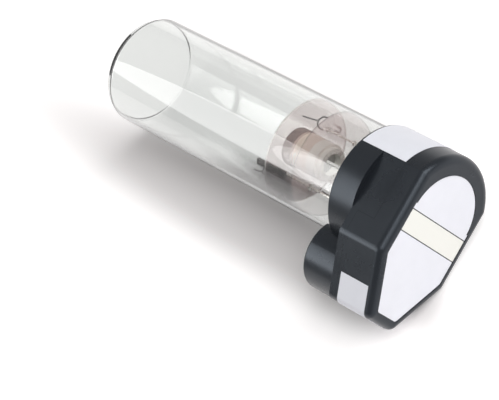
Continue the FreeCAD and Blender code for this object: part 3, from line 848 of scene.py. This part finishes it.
class LAMP_OT_stage(bpy.types.Operator):
    """Set the pale table, the room, the lamps and the camera"""
    bl_idname = "lamp.stage"
    bl_label = "Stage"
    TABLE_REACH = 3.0

    def execute(self, context):
        scene = context.scene
        self.table(scene)
        self.room(scene)
        self.lamps(scene.lamp_light)
        self.camera(scene)
        scene.view_settings.view_transform = "Standard"
        return {"FINISHED"}

    def lamps(self, light):
        """Two lamps that light the object, and two that only show in gloss and glass."""
        half_way = 60 * MM
        middle = LAMP @ Vector((0, 0, half_way))
        streak_rise = (-0.006, 0.797, -0.604)
        key = soft_lamp("Key lamp", middle, (-0.600, -0.345, 0.722), width=1.8, height=1.8,
                        watts=light.key, distance=1.8)
        fill = soft_lamp("Fill lamp", middle, (0.30, 0.68, 0.68), width=0.9, height=0.9,
                         watts=light.fill, distance=1.6)
        strip = soft_lamp("Strip lamp", middle, (0.701, 0.460, 0.545), width=0.36, height=0.70,
                          watts=light.strip, distance=0.9, rise=streak_rise)
        veil = soft_lamp("Veil lamp", middle, (0.614, 0.506, 0.606), width=0.115, height=0.60,
                         watts=light.veil, distance=0.905, rise=streak_rise)
        strip.data.shape = "ELLIPSE"
        for lamp in (key, fill):
            lamp.visible_transmission = False
        for lamp in (strip, veil):
            lamp.visible_diffuse = False

    def table(self, scene):
        work = bmesh.new()
        bmesh.ops.create_grid(work, x_segments=1, y_segments=1, size=self.TABLE_REACH)
        mesh = bpy.data.meshes.new("Table")
        work.to_mesh(mesh)
        work.free()
        table = bpy.data.objects.new("Table", mesh)
        scene.collection.objects.link(table)
        mesh.materials.append(self.table_finish(scene.lamp_light))

    def table_finish(self, light):
        """Pale table that keeps the lamp's shadow. Outside an oval round the shadow it glows for
        camera and gloss rays, and rays through glass see it at a brightness of its own."""
        oval_centre, oval_stretch = (0.013, 0.022, 0.0), (0.35, 2.76, 0.0)
        oval_starts, oval_full = 0.024, 0.075
        material = bpy.data.materials.new("Pale table")
        material.use_nodes = True
        wiring = Wiring(material.node_tree)
        shader = wiring.tree.nodes["Principled BSDF"]
        shader.inputs["Base Color"].default_value = (0.95, 0.92, 0.915, 1.0)
        shader.inputs["Roughness"].default_value = 0.9
        shader.inputs["Specular IOR Level"].default_value = 0.0
        shader.inputs["Emission Color"].default_value = (*WHITE, 1.0)
        path = wiring.add("LightPath").outputs
        place = wiring.add("TexCoord").outputs["Object"]
        shift = wiring.vector_maths("SUBTRACT", place, oval_centre)
        away = wiring.vector_maths("LENGTH", wiring.vector_maths("MULTIPLY", shift, oval_stretch))
        glow = wiring.soft_step(away, oval_starts, oval_full, light.table_glow)
        seen = wiring.maths("MAXIMUM", path["Is Camera Ray"], path["Is Glossy Ray"])
        wiring.join(wiring.product(seen, glow), shader.inputs["Emission Strength"])
        bright = wiring.add("Emission")
        bright.inputs["Strength"].default_value = light.table_seen
        part = wiring.product(path["Is Transmission Ray"], light.table_veil)
        surface = wiring.blend(part, shader.outputs["BSDF"], bright.outputs[0])
        wiring.join(surface, wiring.tree.nodes["Material Output"].inputs["Surface"])
        return material

    def room(self, scene):
        """White for the camera, bright for gloss and glass, and dim as a light."""
        light = scene.lamp_light
        world = bpy.data.worlds.new("Room")
        world.use_nodes = True
        wiring = Wiring(world.node_tree)
        wiring.tree.nodes.clear()
        path = wiring.add("LightPath").outputs
        direct = wiring.maths("LESS_THAN", path["Diffuse Depth"], 0.5)
        either = wiring.maths("MAXIMUM", path["Is Transmission Ray"], path["Is Glossy Ray"])
        through = wiring.product(either, direct)
        level = wiring.maths("MULTIPLY_ADD", through, light.room_seen - light.room, light.room)
        soft = wiring.add("Background")
        soft.inputs["Color"].default_value = (*WHITE, 1.0)
        wiring.join(level, soft.inputs["Strength"])
        white = wiring.add("Background")
        white.inputs["Color"].default_value = (*WHITE, 1.0)
        seen = wiring.blend(path["Is Camera Ray"], soft.outputs[0], white.outputs[0])
        wiring.join(seen, wiring.add("OutputWorld").inputs["Surface"])
        scene.world = world

    def camera(self, scene):
        """Camera in the lamp frame, from the tube's edges and the housing's outline in view."""
        place, turn = (0.8801469, -0.05351077, -0.69300018), (2.62814644, 0.73109281, 2.41342769)
        data = bpy.data.cameras.new("Camera")
        data.sensor_width = 36.0
        data.lens = 193.954
        data.clip_end = 20.0
        camera = bpy.data.objects.new("Camera", data)
        camera.matrix_world = LAMP @ Matrix.Translation(place) @ Euler(turn).to_matrix().to_4x4()
        scene.collection.objects.link(camera)
        scene.camera = camera


class LAMP_PT_parts(bpy.types.Panel):
    """Lists the pieces of the lamp in the order they are made"""
    bl_idname = "LAMP_PT_parts"
    bl_label = "Hollow Cathode Lamp"
    bl_space_type = "VIEW_3D"
    bl_region_type = "UI"
    bl_category = "Lamp"

    def draw(self, context):
        for operator in OPERATORS:
            self.layout.operator(operator.bl_idname)


OPERATORS = (LAMP_OT_glass, LAMP_OT_housing, LAMP_OT_labels, LAMP_OT_mount, LAMP_OT_film,
             LAMP_OT_springs, LAMP_OT_connector, LAMP_OT_stage)
GROUPS = {"lamp_sizes": LampSizes, "lamp_colours": LampColours, "lamp_light": LampLight}


def register():
    for kind in (*GROUPS.values(), *OPERATORS, LAMP_PT_parts):
        bpy.utils.register_class(kind)
    for name, kind in GROUPS.items():
        setattr(bpy.types.Scene, name, PointerProperty(type=kind))


def unregister():
    for name in GROUPS:
        delattr(bpy.types.Scene, name)
    for kind in reversed((*GROUPS.values(), *OPERATORS, LAMP_PT_parts)):
        bpy.utils.unregister_class(kind)


def main():
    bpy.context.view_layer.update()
    register()
    bpy.ops.lamp.glass()
    bpy.ops.lamp.housing()
    bpy.ops.lamp.labels()
    bpy.ops.lamp.mount()
    bpy.ops.lamp.film()
    bpy.ops.lamp.springs()
    bpy.ops.lamp.connector()
    bpy.ops.lamp.stage()


if __name__ == "__main__":
    main()
